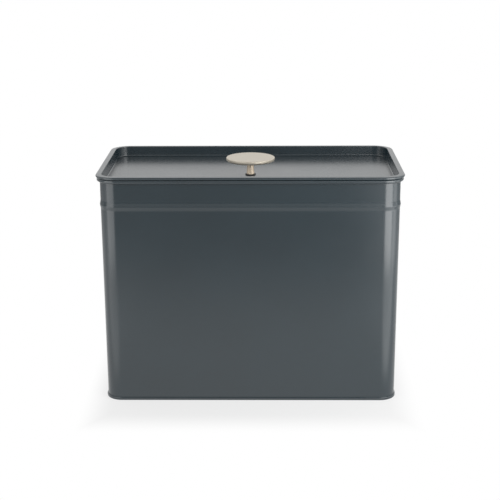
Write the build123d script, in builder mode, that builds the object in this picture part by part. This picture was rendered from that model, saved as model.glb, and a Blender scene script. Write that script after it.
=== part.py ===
"""Upright sheet-steel bread box with a drop-in lid and a disc knob.

Millimetres, +Z up. The origin is on the floor, under the middle of the box.
The long side runs along X, and the front faces -Y.
"""

import os

from build123d import *

# Sheet and fits
sheet = 0.5
lid_side_gap = 1.0
lid_seat_gap = 0.3

# Body
body_length = 325.2
body_width = 169.6
wall_corner_radius = 18.0
wall_taper = 0.55
rim_height = 253.2

# Rolled rim
rim_roll_height = 4.1
rim_roll_reach = 3.3
rim_roll_slit = 0.4
rim_inner_radius = 0.5
rim_outer_share = 0.4
rim_lower_share = 0.5

# Raised bead round the wall
bead_drop = 29.8
bead_height = 9.0
bead_reach = 0.85
bead_crest_radius = 3.0
bead_foot_radius = 12.0

# Vertical lap at the back
lap_width = 6.0

# Base seam and base panel
seam_height = 3.3
seam_reach = 1.1
seam_radius = 0.3
seam_side_gap = 0.05
foot_flange_share = 0.67
foot_radius_share = 0.75
base_panel_height = 4.5
base_shoulder_radius = 1.2
base_field_rise = 1.0
base_field_inset = 9.0
base_field_slope = 2.0
base_field_radius = 1.0

# Lid flange and recess
flange_width = 6.4
flange_rise = 0.5
hem_height = 2.8
hem_return = 3.0
hem_radius_share = 0.496
ridge_radius = 0.8
recess_depth = 11.5
recess_draft = 1.0
recess_foot_radius = 1.2
panel_border = 4.0

# Knob
knob_forward = 21.7
disc_diameter = 53.9
disc_thickness = 4.1
disc_top_radius = 0.8
disc_under_radius = 2.2
stem_height = 14.6
stem_top_diameter = 6.9
stem_foot_diameter = 8.8
spigot_diameter = 4.5
spigot_length = 2.0
gasket_diameter = 11.6
gasket_thickness = 1.0

# Fastening
thread_diameter = 4.0
thread_gap = 0.05
thread_depth = 8.0
thread_end_gap = 1.0
lid_hole_diameter = 5.2
washer_diameter = 10.0
washer_bore = 4.4
washer_thickness = 0.8
screw_head_diameter = 8.0
screw_head_height = 2.6
screw_head_radius = 1.2
cross_width = 1.2
cross_length = 4.6
cross_depth = 1.4

# Heights and half sizes that follow from these
wall_half = body_length / 2
width_difference = (body_length - body_width) / 2
foot_half = wall_half - wall_taper
foot_flange = (seam_reach - sheet) * foot_flange_share
foot_radius = foot_flange * foot_radius_share
seam_half = foot_half + seam_reach
seam_inner_half = foot_half - sheet
base_field_half = foot_half - base_field_inset
base_field_height = base_panel_height + base_field_rise
plate_half = base_field_half - 2 * base_field_slope
bead_centre = rim_height - bead_drop
rim_roll_bottom = rim_height - rim_roll_height
rim_outer_radius = (rim_roll_height - 2 * sheet) * rim_outer_share
rim_lower_radius = (rim_roll_height - 2 * sheet) * rim_lower_share
bead_radii = [bead_foot_radius, bead_crest_radius, bead_foot_radius]
skirt_half = wall_half - 2 * sheet - lid_side_gap
lid_half = skirt_half + flange_width
hem_bottom = rim_height + lid_seat_gap
hem_radius = hem_height * hem_radius_share
flange_top = hem_bottom + hem_height
ridge_top = flange_top + flange_rise
panel_top = ridge_top - recess_depth
panel_half = skirt_half - recess_draft
sheet_half = panel_half - panel_border
gasket_top = panel_top + gasket_thickness
disc_bottom = gasket_top + stem_height
washer_bottom = panel_top - sheet - washer_thickness
knob_plane = Plane((0, -knob_forward, 0))


def wall_taper_at(height):
    """How far the wall has come in from its full size at a height below the bead."""
    straight_top = bead_centre - bead_height / 2
    return wall_taper * (straight_top - height) / straight_top


def wall_points(half):
    """Outside of the wall from just above the seam to the foot of the rim, for a half size."""
    return [
        (half - wall_taper_at(seam_height), seam_height),
        (half, bead_centre - bead_height / 2),
        (half + bead_reach, bead_centre),
        (half, bead_centre + bead_height / 2),
        (half, rim_roll_bottom),
    ]


def bent_sheet(points, radii, thickness):
    """Draw the closed outline of a bent sheet from one face of it, with a radius for each bend.

    The thickness is laid off to the left of that face as it is drawn, or to the right if negative.
    """
    face = [Vector(*point) for point in points]
    runs = [(end - start).normalized() for start, end in zip(face, face[1:])]
    sides = [Vector(-run.Y, run.X) for run in runs]
    back = [face[0] + sides[0] * thickness]
    back_radii = []
    for index, radius in enumerate(radii):
        side_in, side_out = sides[index], sides[index + 1]
        mitre = thickness / (1 + side_in.dot(side_out))
        back.append(face[index + 1] + (side_in + side_out) * mitre)
        turns_left = runs[index].cross(runs[index + 1]).Z > 0
        back_radii.append(radius - thickness if turns_left else radius + thickness)
    back.append(face[-1] + sides[-1] * thickness)
    FilletPolyline(*face, *reversed(back), close=True, radius=[0, *radii, 0, 0, *reversed(back_radii), 0])


os.makedirs("parts", exist_ok=True)

# A quarter of the wall's outline, from the middle of the right side to the middle of the back
with BuildLine() as quarter_path:
    side_run = Line((wall_half, 0), (wall_half, body_width / 2 - wall_corner_radius))
    corner_run = JernArc(side_run @ 1, side_run % 1, wall_corner_radius, 90)
    Line(corner_run @ 1, (0, body_width / 2))

# Body wall, with its foot flange, bead, rolled rim and back lap
with BuildPart() as body_wall:
    with BuildSketch(Plane.XZ):
        with BuildLine():
            bent_sheet(
                [
                    (foot_half + foot_flange, 2 * sheet),
                    (foot_half, 2 * sheet),
                    *wall_points(wall_half)[1:4],
                    (wall_half, rim_height - sheet),
                    (wall_half + rim_roll_reach - sheet, rim_height - sheet),
                    (wall_half + rim_roll_reach - sheet, rim_roll_bottom + sheet),
                    (wall_half + rim_roll_slit, rim_roll_bottom + sheet),
                ],
                [foot_radius, *bead_radii, rim_inner_radius, rim_outer_radius, rim_lower_radius],
                sheet,
            )
        make_face()
    sweep(path=quarter_path.line)
    mirror(about=Plane.YZ)
    mirror(about=Plane.XZ)
    with BuildSketch(Plane.YZ):
        with BuildLine():
            bent_sheet(wall_points(body_width / 2), bead_radii, -sheet)
        make_face()
    extrude(amount=lap_width / 2, both=True)
body_wall.part.label = "body_wall"

# Base panel, rolled round the foot of the wall
with BuildPart() as base_panel:
    with BuildSketch(Plane.XZ):
        with BuildLine():
            bent_sheet(
                [
                    (plate_half, base_field_height),
                    (base_field_half - base_field_slope, base_field_height),
                    (base_field_half, base_panel_height),
                    (seam_inner_half, base_panel_height),
                    (seam_inner_half, sheet),
                    (seam_half - sheet, sheet),
                    (seam_half - sheet, seam_height - sheet),
                    (foot_half + seam_side_gap, seam_height - sheet),
                ],
                [*[base_field_radius] * 2, base_shoulder_radius, *[seam_radius] * 3],
                -sheet,
            )
        make_face()
    sweep(path=quarter_path.line)
    mirror(about=Plane.YZ)
    mirror(about=Plane.XZ)
    with BuildSketch(Plane.XY.offset(base_field_height)):
        RectangleRounded(
            2 * plate_half,
            2 * (plate_half - width_difference),
            wall_corner_radius - (wall_half - plate_half),
        )
    extrude(amount=-sheet)
base_panel.part.label = "base_panel"

# Lid pan, with its hemmed flange, recess and flat panel
with BuildPart() as lid_pan:
    with BuildSketch(Plane.XZ):
        with BuildLine():
            bent_sheet(
                [
                    (lid_half - hem_height / 2 - hem_return, hem_bottom),
                    (lid_half, hem_bottom),
                    (lid_half, flange_top),
                    (skirt_half, ridge_top),
                    (panel_half, panel_top),
                    (sheet_half, panel_top),
                ],
                [hem_radius, hem_radius, ridge_radius, recess_foot_radius],
                sheet,
            )
        make_face()
    sweep(path=quarter_path.line)
    mirror(about=Plane.YZ)
    mirror(about=Plane.XZ)
    with BuildSketch(Plane.XY.offset(panel_top)):
        RectangleRounded(
            2 * sheet_half,
            2 * (sheet_half - width_difference),
            wall_corner_radius - (wall_half - sheet_half),
        )
        with Locations((0, -knob_forward)):
            Circle(lid_hole_diameter / 2, mode=Mode.SUBTRACT)
    extrude(amount=-sheet)
lid_pan.part.label = "lid_pan"

# Knob disc, with a blind socket for the stem's spigot
with BuildPart() as knob_disc:
    with BuildSketch(knob_plane.offset(disc_bottom)):
        Circle(disc_diameter / 2)
    extrude(amount=disc_thickness)
    fillet(knob_disc.edges().group_by(Axis.Z)[-1], radius=disc_top_radius)
    fillet(knob_disc.edges().group_by(Axis.Z)[0], radius=disc_under_radius)
    with BuildSketch(knob_plane.offset(disc_bottom)):
        Circle(spigot_diameter / 2)
    extrude(amount=spigot_length, mode=Mode.SUBTRACT)
knob_disc.part.label = "knob_disc"

# Knob stem, wider at its foot, with a spigot on top and a blind thread hole below
with BuildPart() as knob_stem:
    with BuildSketch(Plane.XZ.offset(knob_forward)):
        with BuildLine():
            Polyline(
                (0, gasket_top),
                (stem_foot_diameter / 2, gasket_top),
                (stem_top_diameter / 2, disc_bottom),
                (spigot_diameter / 2, disc_bottom),
                (spigot_diameter / 2, disc_bottom + spigot_length),
                (0, disc_bottom + spigot_length),
                close=True,
            )
        make_face()
    revolve(axis=Axis((0, -knob_forward, 0), (0, 0, 1)))
    with BuildSketch(knob_plane.offset(gasket_top)):
        Circle(thread_diameter / 2 + thread_gap)
    extrude(amount=thread_depth, mode=Mode.SUBTRACT)
knob_stem.part.label = "knob_stem"

# Soft ring between the stem and the lid
with BuildPart() as knob_gasket:
    with BuildSketch(knob_plane.offset(panel_top)):
        Circle(gasket_diameter / 2)
        Circle(lid_hole_diameter / 2, mode=Mode.SUBTRACT)
    extrude(amount=gasket_thickness)
knob_gasket.part.label = "knob_gasket"

# Flat washer under the lid
with BuildPart() as screw_washer:
    with BuildSketch(knob_plane.offset(washer_bottom)):
        Circle(washer_diameter / 2)
        Circle(washer_bore / 2, mode=Mode.SUBTRACT)
    extrude(amount=washer_thickness)
screw_washer.part.label = "screw_washer"

# Pan-head screw, driven from below
screw_tip = gasket_top + thread_depth - thread_end_gap
with BuildPart() as knob_screw:
    with BuildSketch(knob_plane.offset(washer_bottom)):
        Circle(screw_head_diameter / 2)
    extrude(amount=-screw_head_height)
    fillet(knob_screw.edges().group_by(Axis.Z)[0], radius=screw_head_radius)
    with BuildSketch(knob_plane.offset(washer_bottom)):
        Circle(thread_diameter / 2)
    extrude(amount=screw_tip - washer_bottom)
    with BuildSketch(knob_plane.offset(washer_bottom - screw_head_height)):
        Rectangle(cross_length, cross_width)
        Rectangle(cross_width, cross_length)
    extrude(amount=cross_depth, mode=Mode.SUBTRACT)
knob_screw.part.label = "knob_screw"

export_step(body_wall.part, "parts/body_wall.step")
export_step(base_panel.part, "parts/base_panel.step")
export_step(lid_pan.part, "parts/lid_pan.step")
export_step(knob_disc.part, "parts/knob_disc.step")
export_step(knob_stem.part, "parts/knob_stem.step")
export_step(knob_gasket.part, "parts/knob_gasket.step")
export_step(screw_washer.part, "parts/screw_washer.step")
export_step(knob_screw.part, "parts/knob_screw.step")
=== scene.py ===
"""Looks of an upright sheet-steel bread box with a drop-in lid and a disc knob.

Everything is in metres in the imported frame: +Z up, the long side along X, the front towards -Y.
Each sheet piece is one section, drawn in millimetres, that is carried round the box's outline.
"""

import logging
from dataclasses import dataclass, field
from enum import Enum
from math import cos, pi, radians, sin

import bpy
import numpy as np
from mathutils import Matrix, Vector

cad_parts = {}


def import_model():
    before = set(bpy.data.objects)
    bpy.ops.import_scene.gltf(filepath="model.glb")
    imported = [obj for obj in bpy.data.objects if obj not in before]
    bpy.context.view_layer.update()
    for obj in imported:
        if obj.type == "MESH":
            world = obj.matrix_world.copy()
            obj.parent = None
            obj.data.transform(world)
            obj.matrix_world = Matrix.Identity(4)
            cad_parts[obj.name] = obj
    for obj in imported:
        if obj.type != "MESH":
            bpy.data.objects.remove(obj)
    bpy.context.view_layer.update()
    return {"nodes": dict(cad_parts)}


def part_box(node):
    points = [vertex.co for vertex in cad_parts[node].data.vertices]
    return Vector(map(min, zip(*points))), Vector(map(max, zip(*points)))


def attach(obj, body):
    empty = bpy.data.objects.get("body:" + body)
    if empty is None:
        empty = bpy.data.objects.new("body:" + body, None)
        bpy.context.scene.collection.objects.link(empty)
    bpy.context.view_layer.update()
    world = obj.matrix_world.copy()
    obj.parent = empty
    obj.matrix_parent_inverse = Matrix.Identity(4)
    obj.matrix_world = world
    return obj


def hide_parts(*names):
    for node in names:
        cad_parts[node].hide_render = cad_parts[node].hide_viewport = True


log = logging.getLogger("bread_box")

MM = 0.001

Corner = tuple[float, float, float]
Colour = tuple[float, float, float]
Span = tuple[float, float]

# Sockets of a Mix node that blends colours
MIX_SHARE = 0
MIX_FIRST = 6
MIX_SECOND = 7
MIX_RESULT = 2


def unit(vectors: np.ndarray) -> np.ndarray:
    """Scale each row to length one, and leave rows of no length alone."""
    length = np.linalg.norm(vectors, axis=-1, keepdims=True)
    return vectors / np.where(length > 0, length, 1)


def left_of(vectors: np.ndarray) -> np.ndarray:
    """Turn each row of a plane's vectors by a quarter turn to the left."""
    return np.stack([-vectors[..., 1], vectors[..., 0]], axis=-1)


@dataclass(frozen=True)
class Section:
    """Straight runs joined by round bends, across a sheet or a turned piece.

    Each corner is (out, up, radius) in millimetres. A radius of 0 is a sharp corner.
    """

    corners: tuple[Corner, ...]
    closed: bool = False

    def both_faces(self, thickness: float) -> "Section":
        """Close an open line into the outline of a sheet.

        Each corner of the back face lies on the mitre of its two runs, and its bend shares the
        front bend's centre, so the wall keeps one thickness round it.

        Args:
            thickness: Sheet thickness, laid off to the left of the line as drawn.

        Returns:
            The closed outline, front face first.
        """
        table = np.array(self.corners)
        points, radii = table[:, :2], table[:, 2]
        runs = unit(np.diff(points, axis=0))
        runs_in = np.vstack([runs[:1], runs])
        runs_out = np.vstack([runs, runs[-1:]])
        sides_in, sides_out = left_of(runs_in), left_of(runs_out)
        mitre = thickness / (1 + (sides_in * sides_out).sum(1))
        back = points + (sides_in + sides_out) * mitre[:, None]
        turn = (sides_in * runs_out).sum(1)
        back_radii = np.where(radii > 0, radii - np.sign(turn) * thickness, 0)
        reverse = np.column_stack([back, back_radii])[::-1]
        return Section(tuple(map(tuple, np.vstack([table, reverse]))), closed=True)

    def traced(self, bend_steps: int = 7, lead: float = 0.15) -> np.ndarray:
        """Sample the line.

        A bend is an arc of the corner's radius that touches both runs. Its centre lies on the side
        that the line turns to, and the arc's points turn about it in equal angles. A short lead
        before and after each arc keeps the shading of the flat runs flat.

        Args:
            bend_steps: Points on each arc.
            lead: Length of the lead in millimetres, or a third of the free run if that is less.

        Returns:
            An array of (out, up) rows in millimetres.
        """
        table = np.array(self.corners, float)
        points, radii = table[:, :2], table[:, 2]
        before = points - np.roll(points, 1, axis=0)
        after = np.roll(points, -1, axis=0) - points
        if not self.closed:
            before[0], after[-1] = after[0], before[-1]
        run_in, run_out = unit(before), unit(after)
        turn = np.arctan2((left_of(run_in) * run_out).sum(1), (run_in * run_out).sum(1))
        reach = radii * np.tan(np.abs(turn) / 2)
        free = np.linalg.norm(after, axis=1) - reach - np.roll(reach, -1)
        lead_out = np.clip(free / 3, 0, lead)
        lead_in = np.roll(lead_out, 1)
        spoke = -left_of(run_in) * np.sign(turn)[:, None]
        centre = points - run_in * reach[:, None] - spoke * radii[:, None]
        angle = (turn[:, None] * np.linspace(0, 1, bend_steps))[..., None]
        spokes = spoke[:, None] * np.cos(angle) + left_of(spoke)[:, None] * np.sin(angle)
        arcs = centre[:, None] + spokes * radii[:, None, None]
        first = arcs[:, :1] - (run_in * lead_in[:, None])[:, None]
        last = arcs[:, -1:] + (run_out * lead_out[:, None])[:, None]
        samples = np.concatenate([first, arcs, last], axis=1)
        kept = np.ones(samples.shape[:2], bool)
        kept[radii == 0] = False
        kept[radii == 0, 1] = True
        return samples[kept]


@dataclass(frozen=True)
class Outline:
    """Rounded rectangle that the box's sheets follow, in metres."""

    half_x: float
    half_y: float
    corner: float

    def traced(self, corner_steps: int = 25, lead: float = 0.0012) -> np.ndarray:
        """Sample the rounded rectangle, corner by corner, anticlockwise from above.

        Each corner is a quarter circle about its own centre, so a point's outward direction is
        (cos a, sin a) at angle a. A lead on each side of it lies on the straight runs.

        Args:
            corner_steps: Points on each corner.
            lead: Length of the lead in metres.

        Returns:
            An array of (x, y, outward x, outward y) rows.
        """
        quarter = np.linspace(0, pi / 2, corner_steps)
        quarter = np.concatenate([quarter[:1], quarter, quarter[-1:]])
        angle = quarter + np.arange(4)[:, None] * pi / 2
        outward = np.stack([np.cos(angle), np.sin(angle)], axis=-1)
        signs = np.array([(1, 1), (-1, 1), (-1, -1), (1, -1)])
        centres = signs * (self.half_x - self.corner, self.half_y - self.corner)
        shift = np.zeros(len(quarter))
        shift[0], shift[-1] = -lead, lead
        points = centres[:, None] + outward * self.corner + left_of(outward) * shift[:, None]
        return np.concatenate([points, outward], axis=-1).reshape(-1, 4)


def carried(section: np.ndarray, path: np.ndarray) -> np.ndarray:
    """Carry a section round a path.

    A grid point is the path's point, moved outwards by the section's first number, at the height
    of its second.

    Args:
        section: (out, up) rows in millimetres.
        path: (x, y, outward x, outward y) rows in metres.

    Returns:
        A grid of points, path by section.
    """
    out = section[:, 0] * MM
    flat = path[:, None, :2] + path[:, None, 2:] * out[None, :, None]
    up = np.broadcast_to(section[:, 1] * MM, flat.shape[:2])
    return np.dstack([flat, up])


def turned(section: np.ndarray, centre: np.ndarray, steps: int = 96) -> np.ndarray:
    """Turn a section about an upright axis.

    A point is the centre plus (r cos a, r sin a), at the section's height, over a full turn.

    Args:
        section: (radius, up) rows in millimetres.
        centre: The axis in plan, in metres.
        steps: Points round the turn.

    Returns:
        A grid of points, turn by section.
    """
    angle = np.linspace(0, 2 * pi, steps, endpoint=False)
    ring = np.stack([np.cos(angle), np.sin(angle)], axis=-1)
    flat = centre + ring[:, None] * section[None, :, :1] * MM
    up = np.broadcast_to(section[:, 1] * MM, flat.shape[:2])
    return np.dstack([flat, up])


class MeshMaker:
    """Collects grids and caps of one piece, and makes its mesh."""

    def __init__(self, name: str) -> None:
        """Start an empty piece.

        Args:
            name: Name of the mesh and of its object.
        """
        self.name = name
        self.points: list[np.ndarray] = []
        self.faces: list[list[int]] = []
        self.count = 0

    def grid(
        self, points: np.ndarray, wrap_along: bool = True, wrap_across: bool = True
    ) -> np.ndarray:
        """Add a grid of points with a face between each four neighbours.

        Args:
            points: Grid of points.
            wrap_along: Whether it closes along its first direction.
            wrap_across: Whether it closes along its second direction.

        Returns:
            The grid's point numbers.
        """
        rows, columns = points.shape[:2]
        number = np.arange(rows * columns).reshape(rows, columns) + self.count
        next_row = np.roll(number, -1, axis=0)
        loops = [number, next_row, np.roll(next_row, -1, axis=1), np.roll(number, -1, axis=1)]
        quads = np.stack(loops, axis=-1)
        quads = quads if wrap_along else quads[:-1]
        quads = quads if wrap_across else quads[:, :-1]
        self.points.append(points.reshape(-1, 3))
        self.faces += quads.reshape(-1, 4).tolist()
        self.count += rows * columns
        return number

    def cap(self, ring: np.ndarray, flip: bool = False) -> None:
        """Close a flat ring of point numbers with one face."""
        loop = ring.tolist()
        self.faces.append(loop[::-1] if flip else loop)

    def made(self, sharp_angle: float = 38.0) -> bpy.types.Object:
        """Make the object, with its faces outwards.

        Args:
            sharp_angle: Angle between two faces, in degrees, up to which their edge is smooth.

        Returns:
            The object, at the origin.
        """
        mesh = bpy.data.meshes.new(self.name)
        mesh.from_pydata(np.vstack(self.points), [], self.faces)
        mesh.update()
        if self.signed_volume(mesh) < 0:
            mesh.flip_normals()
        mesh.shade_smooth()
        mesh.set_sharp_from_angle(angle=radians(sharp_angle))
        piece = bpy.data.objects.new(self.name, mesh)
        bpy.context.scene.collection.objects.link(piece)
        return piece

    @staticmethod
    def signed_volume(mesh: bpy.types.Mesh) -> float:
        """Add up the volumes of the tetrahedra from the origin to each triangle.

        Args:
            mesh: A closed mesh.

        Returns:
            Its volume, which is below zero where its faces point inwards.
        """
        mesh.calc_loop_triangles()
        corners = np.zeros(len(mesh.loop_triangles) * 3, np.int32)
        mesh.loop_triangles.foreach_get("vertices", corners)
        places = np.zeros(len(mesh.vertices) * 3)
        mesh.vertices.foreach_get("co", places)
        a, b, c = places.reshape(-1, 3)[corners.reshape(-1, 3)].transpose(1, 0, 2)
        return float((a * np.cross(b, c)).sum() / 6)


class Signal:
    """A shader socket that can be used in Python sums. Each sum adds its Math node."""

    def __init__(self, graph: "Graph", socket: bpy.types.NodeSocket) -> None:
        """Wrap an output socket of a graph."""
        self.graph = graph
        self.socket = socket

    def math(self, operation: str, *others: "Signal | float", swap: bool = False) -> "Signal":
        """Add a Math node.

        Args:
            operation: The node's operation.
            others: Its further values, after this signal.
            swap: Whether all values change to the opposite order.

        Returns:
            The node's result.
        """
        values = [self, *others]
        values = values[::-1] if swap else values
        return self.graph.node("ShaderNodeMath", {"operation": operation}, dict(enumerate(values)))

    def __add__(self, other: "Signal | float") -> "Signal":
        """Sum."""
        return self.math("ADD", other)

    __radd__ = __add__

    def __sub__(self, other: "Signal | float") -> "Signal":
        """Difference."""
        return self.math("SUBTRACT", other)

    def __rsub__(self, other: float) -> "Signal":
        """Difference from a number."""
        return self.math("SUBTRACT", other, swap=True)

    def __mul__(self, other: "Signal | float") -> "Signal":
        """Product."""
        return self.math("MULTIPLY", other)

    __rmul__ = __mul__

    def stepped(self, low: float, high: float) -> "Signal":
        """Rise smoothly from 0 at low to 1 at high."""
        settings = {"interpolation_type": "SMOOTHSTEP"}
        return self.graph.node("ShaderNodeMapRange", settings, {0: self, 1: low, 2: high})


class Graph:
    """Node tree of a material or a world."""

    def __init__(self, tree: bpy.types.NodeTree) -> None:
        """Empty the tree."""
        tree.nodes.clear()
        self.tree = tree

    def node(
        self,
        kind: str,
        settings: dict[str, object] | None = None,
        inputs: dict[str | int, object] | None = None,
        output: str | int = 0,
    ) -> Signal:
        """Add a node.

        Args:
            kind: Node type.
            settings: Properties, set before the sockets.
            inputs: Values or signals by socket name or number.
            output: Socket to give back.

        Returns:
            The chosen output as a signal.
        """
        node = self.tree.nodes.new(kind)
        for name, value in (settings or {}).items():
            setattr(node, name, value)
        for key, value in (inputs or {}).items():
            if isinstance(value, Signal):
                self.tree.links.new(value.socket, node.inputs[key])
            else:
                node.inputs[key].default_value = value
        return Signal(self, node.outputs[output] if node.outputs else None)

    def place(self) -> Signal:
        """Give the place on the piece, in its own axes."""
        return self.node("ShaderNodeTexCoord", output="Object")

    def parts(self, vector: Signal) -> tuple[Signal, ...]:
        """Split a vector into its x, y and z."""
        split = self.node("ShaderNodeSeparateXYZ", {}, {0: vector}).socket.node
        return tuple(Signal(self, socket) for socket in split.outputs)

    def noise(self, scale: float, detail: float = 2.0, place: Signal | None = None) -> Signal:
        """Give fractal noise from 0 to 1, with a number of cells per metre."""
        inputs = {"Vector": place or self.place(), "Scale": scale, "Detail": detail}
        return self.node("ShaderNodeTexNoise", {}, inputs, "Fac")

    def blend(self, share: Signal, low: Colour, high: Colour) -> Signal:
        """Blend two colours by a share from 0 to 1."""
        inputs = {MIX_SHARE: share, MIX_FIRST: (*low, 1.0), MIX_SECOND: (*high, 1.0)}
        return self.node("ShaderNodeMix", {"data_type": "RGBA"}, inputs, MIX_RESULT)

    def rays(self, *kinds: str) -> Signal:
        """Tell rays apart.

        Args:
            kinds: Outputs of the Light Path node.

        Returns:
            1 for a ray of any of these kinds, and 0 for all others.
        """
        first, *others = (self.node("ShaderNodeLightPath", output=kind) for kind in kinds)
        for other in others:
            first = first.math("MAXIMUM", other)
        return first

    def bump(self, height: Signal, distance: float) -> Signal:
        """Turn a height from 0 to 1 into a normal, at a real depth in metres."""
        inputs = {"Height": height, "Distance": distance, "Strength": 1.0}
        return self.node("ShaderNodeBump", {}, inputs)

    def shade(self, inputs: dict[str | int, object]) -> None:
        """Cover the surface with one shader, from its values and signals by socket name."""
        surface = self.node("ShaderNodeBsdfPrincipled", {}, inputs)
        self.node("ShaderNodeOutputMaterial", {}, {"Surface": surface})


def new_material(name: str) -> tuple[bpy.types.Material, Graph]:
    """Make a material.

    Args:
        name: The material's name.

    Returns:
        The material and its emptied node tree.
    """
    material = bpy.data.materials.new(name)
    material.use_nodes = True
    return material, Graph(material.node_tree)


def shaded(colour: Colour, factor: float) -> Colour:
    """Lighten or darken a colour by a factor."""
    return tuple(min(1.0, part * factor) for part in colour)


@dataclass(frozen=True)
class CoatFinish:
    """Satin coat on steel: slate colour, a fine orange-peel skin and a little mottling.

    Noise is in cells per metre, and the skin's depth is in metres.
    """

    colour: Colour = (0.0098, 0.0192, 0.0248)
    mottle: float = 0.06
    mottle_cells: float = 14.0
    mottle_span: Span = (0.35, 0.65)
    grain_cells: float = 2600.0
    grain_share: float = 0.4
    roughness: float = 0.22
    roughness_spread: float = 0.03
    roughness_cells: float = 38.0
    ior: float = 1.68
    peel_cells: float = 620.0
    peel_depth: float = 0.0000045
    peel_grain: float = 0.5

    def material(self, name: str) -> bpy.types.Material:
        """Make the coat's material.

        Colour and roughness drift with broad noise. The skin's height is one part medium and half
        a part fine noise.

        Args:
            name: The material's name.

        Returns:
            The material.
        """
        material, graph = new_material(name)
        broad = graph.noise(self.mottle_cells, detail=3.0)
        fine = graph.noise(self.grain_cells, detail=1.0)
        share = broad * (1 - self.grain_share) + fine * self.grain_share
        dark, light = shaded(self.colour, 1 - self.mottle), shaded(self.colour, 1 + self.mottle)
        drift = graph.noise(self.roughness_cells, detail=4.0) * (2 * self.roughness_spread)
        skin = graph.noise(self.peel_cells, detail=2.0) + fine * self.peel_grain
        inputs = {
            "Base Color": graph.blend(share.stepped(*self.mottle_span), dark, light),
            "Roughness": drift + (self.roughness - self.roughness_spread),
            "Normal": graph.bump(skin, self.peel_depth),
            "IOR": self.ior,
        }
        graph.shade(inputs)
        return material


class Turning(Enum):
    """Which way a metal piece's fine marks run."""

    RINGS = "rings"
    BANDS = "bands"


@dataclass(frozen=True)
class KnobFinish:
    """Satin champagne metal, with fine marks left by turning about the knob's axis.

    Noise is in cells per metre, and the axis and the marks' depth are in metres.
    """

    colour: Colour = (0.485, 0.443, 0.37)
    darkest: float = 0.96
    lightest: float = 1.03
    metallic: float = 0.6
    roughness: float = 0.45
    roughness_marks: float = 0.1
    roughness_cloud: float = 0.06
    turning: Turning = Turning.RINGS
    axis: tuple[float, float] = (0.0, 0.0)
    mark_cells: float = 2400.0
    mark_depth: float = 0.000004
    cloud_cells: float = 90.0
    cloud_span: Span = (0.3, 0.7)

    def material(self, name: str) -> bpy.types.Material:
        """Make the metal's material.

        Rings depend only on the distance from the knob's axis, and bands only on the height, so
        noise read at that one number draws the turning marks.

        Args:
            name: The material's name.

        Returns:
            The material.
        """
        material, graph = new_material(name)
        x, y, z = graph.parts(graph.place())
        x, y = x - self.axis[0], y - self.axis[1]
        radius = (x * x + y * y).math("SQRT")
        number = radius if self.turning is Turning.RINGS else z
        place = graph.node("ShaderNodeCombineXYZ", {}, {0: number})
        marks = graph.noise(self.mark_cells, detail=3.0, place=place)
        cloud = graph.noise(self.cloud_cells, detail=3.0)
        share = (marks * 0.5 + cloud * 0.5).stepped(*self.cloud_span)
        dark, light = shaded(self.colour, self.darkest), shaded(self.colour, self.lightest)
        drift = marks * self.roughness_marks + cloud * self.roughness_cloud
        mean_drift = (self.roughness_marks + self.roughness_cloud) / 2
        inputs = {
            "Base Color": graph.blend(share, dark, light),
            "Metallic": self.metallic,
            "Roughness": drift + (self.roughness - mean_drift),
            "Normal": graph.bump(marks, self.mark_depth),
        }
        graph.shade(inputs)
        return material


@dataclass(frozen=True)
class PlainFinish:
    """Small hidden parts: a colour with a little cloud, and a fine grain.

    Noise is in cells per metre, and the grain's depth is in metres.
    """

    colour: Colour
    roughness: float
    metallic: float = 0.0
    colour_spread: float = 0.15
    roughness_spread: float = 0.075
    grain_cells: float = 1500.0
    grain_depth: float = 0.00001

    def material(self, name: str) -> bpy.types.Material:
        """Make the material, in which one noise moves the colour, the roughness and the skin.

        Args:
            name: The material's name.

        Returns:
            The material.
        """
        material, graph = new_material(name)
        grain = graph.noise(self.grain_cells, detail=3.0)
        spread = self.colour_spread
        dark, light = shaded(self.colour, 1 - spread), shaded(self.colour, 1 + spread)
        drift = grain * (2 * self.roughness_spread)
        inputs = {
            "Base Color": graph.blend(grain, dark, light),
            "Metallic": self.metallic,
            "Roughness": drift + (self.roughness - self.roughness_spread),
            "Normal": graph.bump(grain, self.grain_depth),
        }
        graph.shade(inputs)
        return material


@dataclass
class Piece:
    """What a finished piece needs besides its shape."""

    body: str
    slot: str
    replaces: tuple[str, ...] = ()

    def dress(self, thing: bpy.types.Object, material: bpy.types.Material) -> None:
        """Give a piece its finish and its body, and hide the nodes that it stands for.

        Args:
            thing: The piece's object.
            material: Its finish.
        """
        thing.data.materials.clear()
        thing.data.materials.append(material)
        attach(thing, self.body)
        if self.replaces:
            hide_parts(*self.replaces)
        log.info("made %s with %d faces", thing.name, len(thing.data.polygons))


@dataclass
class SheetBox:
    """Sizes that the wall, the base and the lid share. Lengths are in millimetres."""

    sheet: float = 0.5
    corner: float = 18.0
    rim_reach: float = 3.3
    outline: Outline = field(init=False)
    path: np.ndarray = field(init=False)

    def __post_init__(self) -> None:
        """Read the wall's outline from the frame."""
        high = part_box("body_wall")[1]
        half_x, half_y = high.x - self.rim_reach * MM, high.y - self.rim_reach * MM
        self.outline = Outline(half_x, half_y, self.corner * MM)
        self.path = self.outline.traced()

    def around(self, section: np.ndarray) -> np.ndarray:
        """Carry a section round the box, its first number counted from the wall's outside."""
        return carried(section, self.path)


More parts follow.
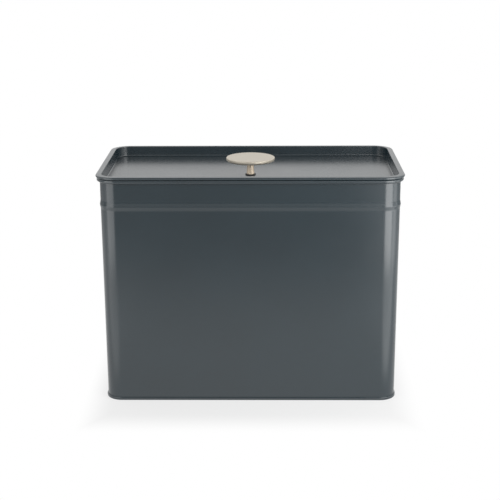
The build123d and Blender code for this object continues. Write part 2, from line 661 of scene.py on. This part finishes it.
@dataclass
class Body:
    """Wall with its rolled rim and bead, its back lap, and the base panel.

    Lengths are in millimetres. The roll's two radii are shares of its inner height.
    """

    box: SheetBox
    coat: bpy.types.Material
    taper: float = 0.55
    foot_flange: float = 0.4
    foot_bend: float = 0.3
    rim_bend: float = 0.5
    roll_height: float = 4.1
    roll_slit: float = 0.4
    roll_outer_share: float = 0.4
    roll_lower_share: float = 0.5
    bead_drop: float = 29.8
    bead_height: float = 9.0
    bead_reach: float = 0.85
    bead_crest_radius: float = 3.0
    bead_foot_radius: float = 12.0
    lap_width: float = 6.0
    seam_height: float = 3.3
    seam_reach: float = 1.1
    seam_bend: float = 0.3
    seam_slack: float = 0.05
    base_height: float = 4.5
    base_bend: float = 1.2
    field_rise: float = 1.0
    field_inset: float = 9.0
    field_slope: float = 2.0
    field_bend: float = 1.0
    rim: float = field(init=False)

    def __post_init__(self) -> None:
        """Read the rim's height from the frame."""
        self.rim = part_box("body_wall")[1].z / MM

    def bead_corners(self) -> list[Corner]:
        """Give the bead's three corners, from below."""
        middle, half = self.rim - self.bead_drop, self.bead_height / 2
        return [
            (0.0, middle - half, self.bead_foot_radius),
            (self.bead_reach, middle, self.bead_crest_radius),
            (0.0, middle + half, self.bead_foot_radius),
        ]

    def wall(self) -> bpy.types.Object:
        """Make the wall.

        The section runs up from the foot flange, over the bead, and rolls outwards and down into
        the rim. It is drawn on the outside face.

        Returns:
            The wall's object.
        """
        sheet, reach = self.box.sheet, self.box.rim_reach
        bottom = self.rim - self.roll_height
        roll = self.roll_height - 2 * sheet
        line = Section(
            (
                (self.foot_flange - self.taper, 2 * sheet, 0.0),
                (-self.taper, 2 * sheet, self.foot_bend),
                *self.bead_corners(),
                (0.0, self.rim - sheet, self.rim_bend),
                (reach - sheet, self.rim - sheet, self.roll_outer_share * roll),
                (reach - sheet, bottom + sheet, self.roll_lower_share * roll),
                (self.roll_slit, bottom + sheet, 0.0),
            )
        )
        maker = MeshMaker("body_wall_sheet")
        maker.grid(self.box.around(line.both_faces(sheet).traced()))
        return maker.made()

    def lap(self) -> bpy.types.Object:
        """Make the vertical lap at the back, along the wall's own line and one sheet thick.

        Its two ends are the same closed outline, at minus and plus half of its width.

        Returns:
            The lap's object.
        """
        straight = self.rim - self.bead_drop - self.bead_height / 2
        foot = -self.taper * (straight - self.seam_height) / straight
        line = Section(
            (
                (foot, self.seam_height, 0.0),
                *self.bead_corners(),
                (0.0, self.rim - self.roll_height, 0.0),
            )
        )
        section = line.both_faces(-self.box.sheet).traced()
        half = self.lap_width * MM / 2
        back = self.box.outline.half_y + section[:, 0] * MM
        outline = np.column_stack([np.full(len(back), half), back, section[:, 1] * MM])
        maker = MeshMaker("back_lap")
        number = maker.grid(np.stack([outline * (-1, 1, 1), outline]), wrap_along=False)
        maker.cap(number[0], flip=True)
        maker.cap(number[1])
        return maker.made()

    def base(self) -> bpy.types.Object:
        """Make the base panel.

        The section runs out over the raised field, down the inside of the wall, and up round its
        foot to close the seam. It is drawn on the face that meets the wall.

        Returns:
            The base panel's object.
        """
        sheet = self.box.sheet
        foot, inner = -self.taper, -self.taper - self.box.sheet
        edge = foot - self.field_inset
        band = foot + self.seam_reach - sheet
        line = Section(
            (
                (edge - 2 * self.field_slope, self.base_height + self.field_rise, 0.0),
                (edge - self.field_slope, self.base_height + self.field_rise, self.field_bend),
                (edge, self.base_height, self.field_bend),
                (inner, self.base_height, self.base_bend),
                (inner, sheet, self.seam_bend),
                (band, sheet, self.seam_bend),
                (band, self.seam_height - sheet, self.seam_bend),
                (foot + self.seam_slack, self.seam_height - sheet, 0.0),
            )
        )
        section = line.both_faces(-sheet).traced()
        maker = MeshMaker("base_panel_sheet")
        number = maker.grid(self.box.around(section), wrap_across=False)
        maker.cap(number[:, 0])
        maker.cap(number[:, -1], flip=True)
        return maker.made()

    def build(self) -> None:
        """Make the body's pieces and dress them."""
        Piece("body", "body_coat", ("body_wall",)).dress(self.wall(), self.coat)
        Piece("body", "body_coat").dress(self.lap(), self.coat)
        Piece("body", "body_coat", ("base_panel",)).dress(self.base(), self.coat)


@dataclass
class Lid:
    """Pressed lid: hemmed flange, recess and flat panel with a hole for the knob.

    Lengths are in millimetres.
    """

    box: SheetBox
    coat: bpy.types.Material
    side_gap: float = 1.0
    flange_width: float = 6.4
    flange_rise: float = 0.5
    hem_height: float = 2.8
    hem_return: float = 3.0
    hem_radius: float = 1.389
    ridge_radius: float = 0.8
    recess_depth: float = 11.5
    recess_draft: float = 1.0
    foot_radius: float = 1.2
    panel_border: float = 4.0
    hole: float = 5.2
    panel: float = field(init=False)
    centre: np.ndarray = field(init=False)

    def __post_init__(self) -> None:
        """Read the flat panel's upper face and the hole's middle from the frame."""
        low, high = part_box("knob_gasket")
        self.panel = low.z / MM
        self.centre = np.array((low + high) / 2)[:2]

    def pan(self) -> bpy.types.Object:
        """Make the lid from one sheet.

        The section runs along the hem's underside, round its edge, up the flange to the ridge, down
        the recess and onto the panel. The panel then runs straight from the rounded rectangle to
        the hole's circle, above and below.

        Returns:
            The lid's object.
        """
        sheet, panel = self.box.sheet, self.panel
        skirt = -2 * sheet - self.side_gap
        edge = skirt + self.flange_width
        ridge = panel + self.recess_depth
        flange = ridge - self.flange_rise
        hem = flange - self.hem_height
        foot = skirt - self.recess_draft
        line = Section(
            (
                (foot - self.panel_border, panel, 0.0),
                (foot, panel, self.foot_radius),
                (skirt, ridge, self.ridge_radius),
                (edge, flange, self.hem_radius),
                (edge, hem, self.hem_radius),
                (edge - self.hem_height / 2 - self.hem_return, hem, 0.0),
            )
        )
        grid = self.box.around(line.both_faces(-sheet).traced())
        circle = self.centre + unit(grid[:, 0, :2] - self.centre) * self.hole / 2 * MM
        levels = (panel * MM, (panel - sheet) * MM)
        high, low = (np.insert(circle, 2, level, axis=1)[:, None] for level in levels)
        maker = MeshMaker("lid_pan_sheet")
        maker.grid(np.concatenate([high, grid, low], axis=1))
        return maker.made()

    def build(self) -> None:
        """Make the lid's pan and dress it."""
        Piece("lid", "lid_coat", ("lid_pan",)).dress(self.pan(), self.coat)


@dataclass
class Knob:
    """Disc on a slim stem, with a soft ring under it, a screw and a washer.

    Lengths are in millimetres.
    """

    disc_metal: bpy.types.Material
    # The stem is the disc's champagne metal. Its lighter, warmer colour is painted light that makes
    # up for the shade under the disc.
    stem_metal_painted_light: bpy.types.Material
    rubber: bpy.types.Material
    steel: bpy.types.Material
    disc_top_radius: float = 0.8
    disc_under_radius: float = 2.2
    disc_cap_radius: float = 2.0
    stem_top: float = 6.9
    stem_edge: float = 0.25
    stem_cap_radius: float = 1.0
    gasket_bore: float = 5.2
    gasket_edge: float = 0.3
    washer_bore: float = 4.4
    washer_edge: float = 0.1

    @staticmethod
    def size(node: str) -> tuple[np.ndarray, float, float, float]:
        """Read a round piece's size from the frame.

        Args:
            node: The piece's node.

        Returns:
            Its axis in plan in metres, then its radius, foot and top in millimetres.
        """
        low, high = (np.array(corner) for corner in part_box(node))
        return (low + high)[:2] / 2, (high[0] - low[0]) / 2 / MM, low[2] / MM, high[2] / MM

    @staticmethod
    def solid(name: str, corners: tuple[Corner, ...], centre: np.ndarray) -> bpy.types.Object:
        """Turn an open line about its axis, and close both ends with flat caps.

        Args:
            name: The piece's name.
            corners: The line, from near the axis at its foot to near the axis at its top.
            centre: The axis in plan, in metres.

        Returns:
            The piece's object.
        """
        maker = MeshMaker(name)
        section = Section(corners).traced(bend_steps=9)
        number = maker.grid(turned(section, centre), wrap_across=False)
        maker.cap(number[:, 0], flip=True)
        maker.cap(number[:, -1])
        return maker.made()

    def ring(self, node: str, bore: float, edge: float) -> bpy.types.Object:
        """Turn a flat ring about its axis.

        Args:
            node: Node that gives the ring's place, radius and height.
            bore: Diameter of its hole, in millimetres.
            edge: Radius of its four edges, in millimetres.

        Returns:
            The ring's object.
        """
        centre, radius, foot, top = self.size(node)
        inside = bore / 2
        corners = (
            (inside, foot, edge),
            (radius, foot, edge),
            (radius, top, edge),
            (inside, top, edge),
        )
        maker = MeshMaker(f"{node}_ring")
        section = Section(corners, closed=True).traced(bend_steps=5, lead=0.05)
        maker.grid(turned(section, centre, steps=64))
        return maker.made()

    def disc(self) -> bpy.types.Object:
        """Make the disc, with a tight upper edge and a fuller lower one.

        Returns:
            The disc's object.
        """
        centre, radius, foot, top = self.size("knob_disc")
        corners = (
            (self.disc_cap_radius, foot, 0.0),
            (radius, foot, self.disc_under_radius),
            (radius, top, self.disc_top_radius),
            (self.disc_cap_radius, top, 0.0),
        )
        return self.solid("knob_disc_plate", corners, centre)

    def stem(self) -> bpy.types.Object:
        """Make the stem: a slim cone from the soft ring up to the disc.

        Returns:
            The stem's object.
        """
        centre, radius, foot, _ = self.size("knob_stem")
        _, _, disc_foot, _ = self.size("knob_disc")
        corners = (
            (self.stem_cap_radius, foot, 0.0),
            (radius, foot, self.stem_edge),
            (self.stem_top / 2, disc_foot, 0.0),
            (self.stem_cap_radius, disc_foot, 0.0),
        )
        return self.solid("knob_stem_pillar", corners, centre)

    def build(self, nodes: dict[str, bpy.types.Object]) -> None:
        """Make the knob's pieces and dress them, with the screw as the frame has it.

        Args:
            nodes: The frame's objects by node.
        """
        Piece("lid", "knob_metal", ("knob_disc",)).dress(self.disc(), self.disc_metal)
        Piece("lid", "knob_metal", ("knob_stem",)).dress(self.stem(), self.stem_metal_painted_light)
        gasket = self.ring("knob_gasket", self.gasket_bore, self.gasket_edge)
        Piece("lid", "gasket_rubber", ("knob_gasket",)).dress(gasket, self.rubber)
        washer = self.ring("screw_washer", self.washer_bore, self.washer_edge)
        Piece("lid", "screw_steel", ("screw_washer",)).dress(washer, self.steel)
        screw = nodes["knob_screw"]
        screw.data.materials.clear()
        screw.data.materials.append(self.steel)
        log.info("kept %s as the frame has it", screw.name)


@dataclass(frozen=True)
class Strip:
    """Soft upright panel that faces a front corner of the box.

    Its direction from that corner is in degrees to the right of the front. Its width is in metres,
    and its radiance is on the world's scale.
    """

    name: str
    azimuth: float
    width: float
    radiance: float


@dataclass(frozen=True)
class Tiers:
    """One side of the world, graded upwards from height 0 at the horizon to 1 overhead."""

    low: float
    high: float
    rise: Span
    fall: Span

    def level(self, height: Signal, overhead: float) -> Signal:
        """Grade from low to high over the rise, and on to the overhead level over the fall.

        Args:
            height: Height of the direction.
            overhead: Level overhead.

        Returns:
            The level in that direction.
        """
        level = self.low + (self.high - self.low) * height.stepped(*self.rise)
        return level + (overhead - level) * height.stepped(*self.fall)


@dataclass
class Studio:
    """Pale floor, soft lamps and the camera. Lengths are in metres, and angles in degrees."""

    # Camera
    focal_pixels: float = 1209.8
    image_pixels: float = 500.0
    sensor_width: float = 36.0
    sight: float = 100.0
    camera_place: tuple[float, float, float] = (0.018, -1.3446, 0.5379)
    pitch: float = 16.047
    heading: float = 0.824
    roll: float = -0.264

    # Floor: its paint, its glow at the foot, and the distances from there over which it turns white
    floor_size: float = 12.0
    floor_white: float = 0.56
    floor_glow: float = 0.64
    foot_x: float = 0.15
    foot_y: float = 0.085
    shadow_aside: Span = (0.0, 0.04)
    shadow_ahead: Span = (0.035, 0.09)

    # Floor as gloss sees it: where its white ends, and its gleam beyond both front corners
    near: Span = (0.15, 0.7)
    near_aside: float = 0.35
    gleam_right: float = 1.3
    gleam_left: float = 0.55
    gleam_aside: Span = (0.15, 0.24)
    gleam_ahead: Span = (0.09, 0.18)

    # World: its back and its front, and the depth over which one turns to the other
    back: Tiers = Tiers(0.95, 1.35, (0.15, 0.45), (0.6, 0.9))
    front: Tiers = Tiers(0.3, 1.2, (0.02, 0.3), (0.65, 0.85))
    front_to_back: Span = (-0.25, 0.35)
    overhead: float = 0.25

    # Strips round the front corners
    corner_x: float = 0.15
    corner_y: float = -0.08
    strip_distance: float = 0.36
    strip_height: float = 0.6
    strip_foot: float = 0.05
    strips: tuple[Strip, ...] = (
        Strip("strip_right", 34.5, 0.34, 4.1),
        Strip("strip_right_side", 82.0, 0.24, 1.2),
        Strip("strip_left", -44.5, 0.35, 1.6),
    )

    def camera(self) -> None:
        """Put the camera at the photograph's place and angle."""
        data = bpy.data.cameras.new("camera")
        data.sensor_width = self.sensor_width
        data.lens = data.sensor_width * self.focal_pixels / self.image_pixels
        data.clip_end = self.sight
        camera = bpy.data.objects.new("camera", data)
        turn = Matrix.Rotation(radians(self.heading), 4, "Z")
        turn = turn @ Matrix.Rotation(radians(90 - self.pitch), 4, "X")
        turn = turn @ Matrix.Rotation(radians(self.roll), 4, "Z")
        camera.matrix_world = Matrix.Translation(Vector(self.camera_place)) @ turn
        bpy.context.scene.collection.objects.link(camera)
        bpy.context.scene.camera = camera

    def floor(self) -> None:
        """Lay a pale floor that keeps the box's shadow.

        It is white to the camera, apart from a band round the box's foot. Gloss sees it white near
        the box, and brighter beyond both front corners, under the strips.
        """
        half = self.floor_size / 2
        corners = [(-half, -half, 0), (half, -half, 0), (half, half, 0), (-half, half, 0)]
        mesh = bpy.data.meshes.new("floor")
        mesh.from_pydata(corners, [], [(0, 1, 2, 3)])
        floor = bpy.data.objects.new("floor", mesh)
        bpy.context.scene.collection.objects.link(floor)
        material, graph = new_material("floor_white")
        camera = graph.rays("Is Camera Ray", "Is Transmission Ray")
        glossy = graph.rays("Is Glossy Ray")
        x, y, _ = graph.parts(graph.place())
        aside = (x.math("ABSOLUTE") - self.foot_x).math("MAXIMUM", 0.0)
        ahead = (y.math("ABSOLUTE") - self.foot_y).math("MAXIMUM", 0.0)
        bare = aside.stepped(*self.shadow_aside).math("MAXIMUM", ahead.stepped(*self.shadow_ahead))
        aside = aside * self.near_aside
        near = 1 - (aside * aside + ahead * ahead).math("SQRT").stepped(*self.near)
        share = camera * (self.floor_glow + (1 - self.floor_glow) * bare) + glossy * near
        right = x.stepped(*self.gleam_aside) * self.gleam_right
        left = (x * -1).stepped(*self.gleam_aside) * self.gleam_left
        level = 1 + glossy * (right + left) * (y * -1).stepped(*self.gleam_ahead)
        paint = graph.node("ShaderNodeBsdfDiffuse", {}, {"Color": (*(self.floor_white,) * 3, 1.0)})
        glow = graph.node("ShaderNodeEmission", {}, {"Color": level, "Strength": 1.0})
        mixed = graph.node("ShaderNodeMixShader", {}, {0: share, 1: paint, 2: glow})
        graph.node("ShaderNodeOutputMaterial", {}, {"Surface": mixed})
        mesh.materials.append(material)

    def sky(self) -> None:
        """Light the scene from all round.

        The world is white to the camera. Everything else meets a bright wall behind, a softer one
        in front that darkens towards the floor, and a dim ceiling.
        """
        world = bpy.data.worlds.new("studio")
        world.use_nodes = True
        bpy.context.scene.world = world
        graph = Graph(world.node_tree)
        camera = graph.rays("Is Camera Ray", "Is Transmission Ray")
        _, y, z = graph.parts(graph.node("ShaderNodeTexCoord", output="Generated"))
        back = self.back.level(z, self.overhead)
        front = self.front.level(z, self.overhead)
        dim = front + (back - front) * y.stepped(*self.front_to_back)
        level = camera + (1 - camera) * dim
        light = graph.node("ShaderNodeBackground", {}, {"Color": level, "Strength": 1.0})
        graph.node("ShaderNodeOutputWorld", {}, {"Surface": light})

    def strip(self, strip: Strip) -> None:
        """Stand a soft panel just above the floor, facing a front corner, unseen by the camera.

        A panel of one radiance sends out pi times its radiance and its area.

        Args:
            strip: The panel.
        """
        turn = radians(strip.azimuth)
        side = 1 if strip.azimuth > 0 else -1
        middle = self.strip_height / 2 + self.strip_foot
        corner = Vector((side * self.corner_x, self.corner_y, middle))
        away = Vector((sin(turn), -cos(turn), 0))
        data = bpy.data.lights.new(strip.name, "AREA")
        data.shape = "RECTANGLE"
        data.size, data.size_y = strip.width, self.strip_height
        data.energy = strip.radiance * pi * strip.width * self.strip_height
        lamp = bpy.data.objects.new(strip.name, data)
        facing = (-away).to_track_quat("-Z", "Y").to_matrix().to_4x4()
        lamp.matrix_world = Matrix.Translation(corner + away * self.strip_distance) @ facing
        lamp.visible_camera = False
        bpy.context.scene.collection.objects.link(lamp)

    def build(self) -> None:
        """Set the stage, the lamps and the camera."""
        bpy.context.scene.view_settings.view_transform = "Standard"
        self.camera()
        self.floor()
        self.sky()
        for strip in self.strips:
            self.strip(strip)


def main() -> None:
    """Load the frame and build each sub-assembly."""
    logging.basicConfig(level=logging.INFO)
    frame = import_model()
    box = SheetBox()
    Body(box, CoatFinish().material("slate_coat_body")).build()
    Lid(box, CoatFinish().material("slate_coat_lid")).build()
    axis = tuple(Knob.size("knob_disc")[0])
    disc_finish = KnobFinish(axis=axis)
    # Painted light: the stem's colour is lighter and warmer than the disc's, though both are one
    # metal, to make up for the shade under the disc.
    stem_finish_painted_light = KnobFinish((0.8, 0.67, 0.52), axis=axis, turning=Turning.BANDS)
    rubber_finish = PlainFinish((0.035, 0.034, 0.033), 0.7)
    steel_finish = PlainFinish((0.55, 0.55, 0.54), 0.32, metallic=1.0)
    knob = Knob(
        disc_metal=disc_finish.material("champagne_disc"),
        stem_metal_painted_light=stem_finish_painted_light.material("champagne_stem_painted_light"),
        rubber=rubber_finish.material("dark_rubber"),
        steel=steel_finish.material("plated_steel"),
    )
    knob.build(frame["nodes"])
    Studio().build()


if __name__ == "__main__":
    main()
